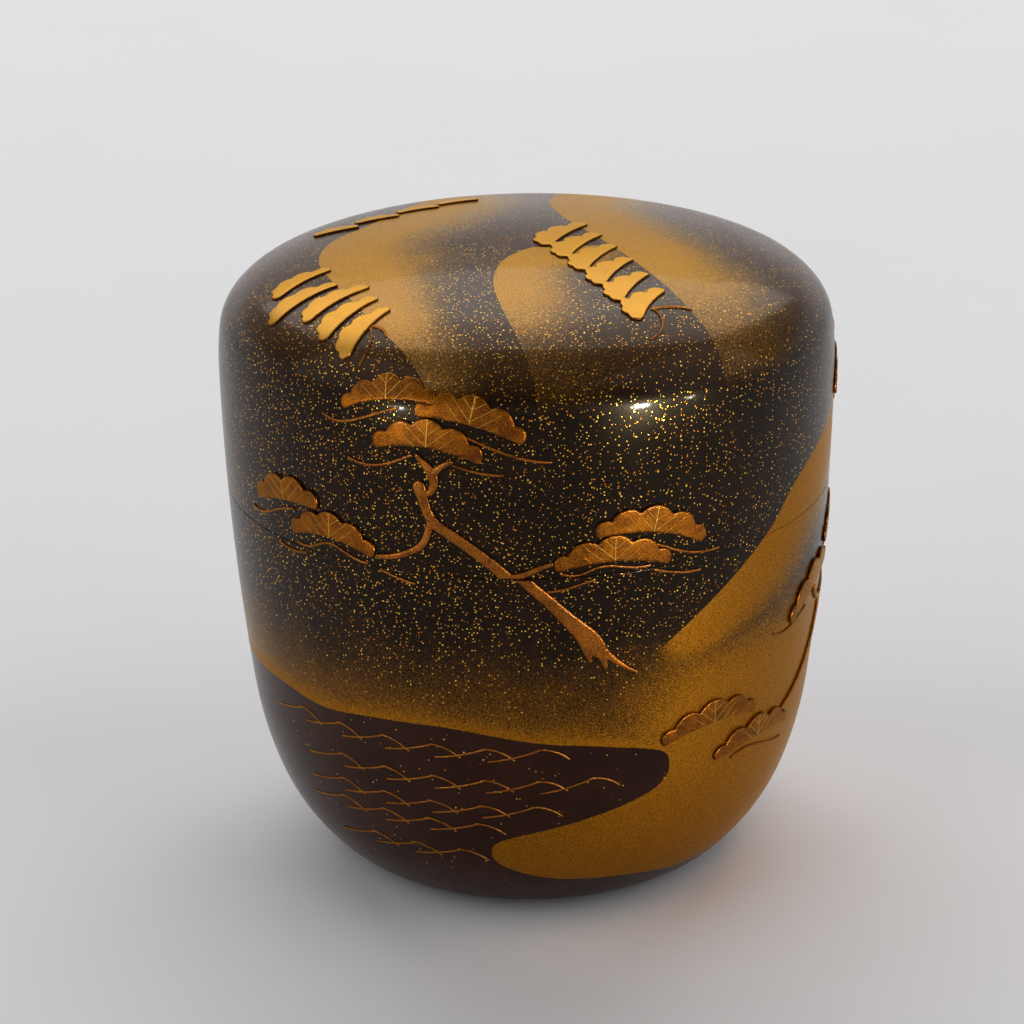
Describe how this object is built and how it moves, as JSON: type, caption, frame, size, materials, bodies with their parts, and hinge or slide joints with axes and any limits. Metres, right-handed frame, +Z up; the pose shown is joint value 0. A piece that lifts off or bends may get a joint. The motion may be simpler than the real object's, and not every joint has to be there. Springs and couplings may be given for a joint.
{
  "type": "tea caddy",
  "caption": "Round lacquered tea caddy with a slightly domed lid that slips over an inner collar; raised and painted gold pines, hills and water.",
  "frame": {"origin": "centre of the foot, on the surface the caddy stands on", "axes": "+Z up along the turning axis; -Y is the side with the crooked pine, +X to its right"},
  "size_m": [0.0664, 0.0663, 0.0694],
  "materials": {
    "turned_wood": "bare turned hardwood under the lacquer",
    "hemp_cloth": "plain-woven hemp stiffened with lacquer",
    "outer_lacquer": "polished dark brown lacquer with sprinkled gold flakes and gold dust",
    "inner_lacquer": "polished black-brown lacquer, sparsely sprinkled",
    "gold_pads": "raised lacquer covered with polished gold dust",
    "gold_bark": "raised lacquer covered with coarse, half matt gold dust",
    "gold_line": "thin drawn lines of gold dust"
  },
  "bodies": {
    "cup": {"body_core": "turned_wood", "body_rim_cloth": "hemp_cloth", "body_lacquer": "outer_lacquer", "body_lining": "inner_lacquer", "base_lacquer": "outer_lacquer", "collar": "turned_wood", "collar_lacquer": "inner_lacquer", "front_trunk_lower": "gold_bark", "body_twigs": "gold_bark", "back_trunk_lower": "gold_bark", "far_pines": "gold_pads", "waves_front": "gold_line", "waves_back": "gold_line", "shore_pad_left": "gold_pads", "shore_pad_right": "gold_pads", "side_pad_left": "gold_pads", "side_pad_right": "gold_pads", "back_pad_body": "gold_pads"},
    "lid_link": {"lid_lining": "inner_lacquer"},
    "lid": {"lid_core": "turned_wood", "lid_rim_cloth": "hemp_cloth", "lid_lacquer": "outer_lacquer", "front_trunk_upper": "gold_bark", "lid_twigs": "gold_bark", "back_trunk_upper": "gold_bark", "crown_row_right": "gold_pads", "crown_row_left": "gold_pads", "crown_row_back": "gold_pads", "crown_twigs": "gold_bark", "pine_pad_upper_left": "gold_pads", "pine_pad_upper_right": "gold_pads", "pine_pad_upper_middle": "gold_pads", "pine_pad_left_high": "gold_pads", "pine_pad_left_low": "gold_pads", "pine_pad_right_high": "gold_pads", "pine_pad_right_low": "gold_pads", "back_pad_high": "gold_pads", "back_pad_left": "gold_pads", "back_pad_right": "gold_pads", "back_pad_low": "gold_pads"}
  },
  "joints": [
    {"name": "lid_lift", "type": "slide", "parent": "cup", "child": "lid_link", "axis": [0, 0, 1], "range_m": [0, 0.05]},
    {"name": "lid_turn", "type": "hinge", "parent": "lid_link", "child": "lid", "pos_m": [0, 0, 0.043], "axis": [0, 0, 1], "continuous": true}
  ]
}
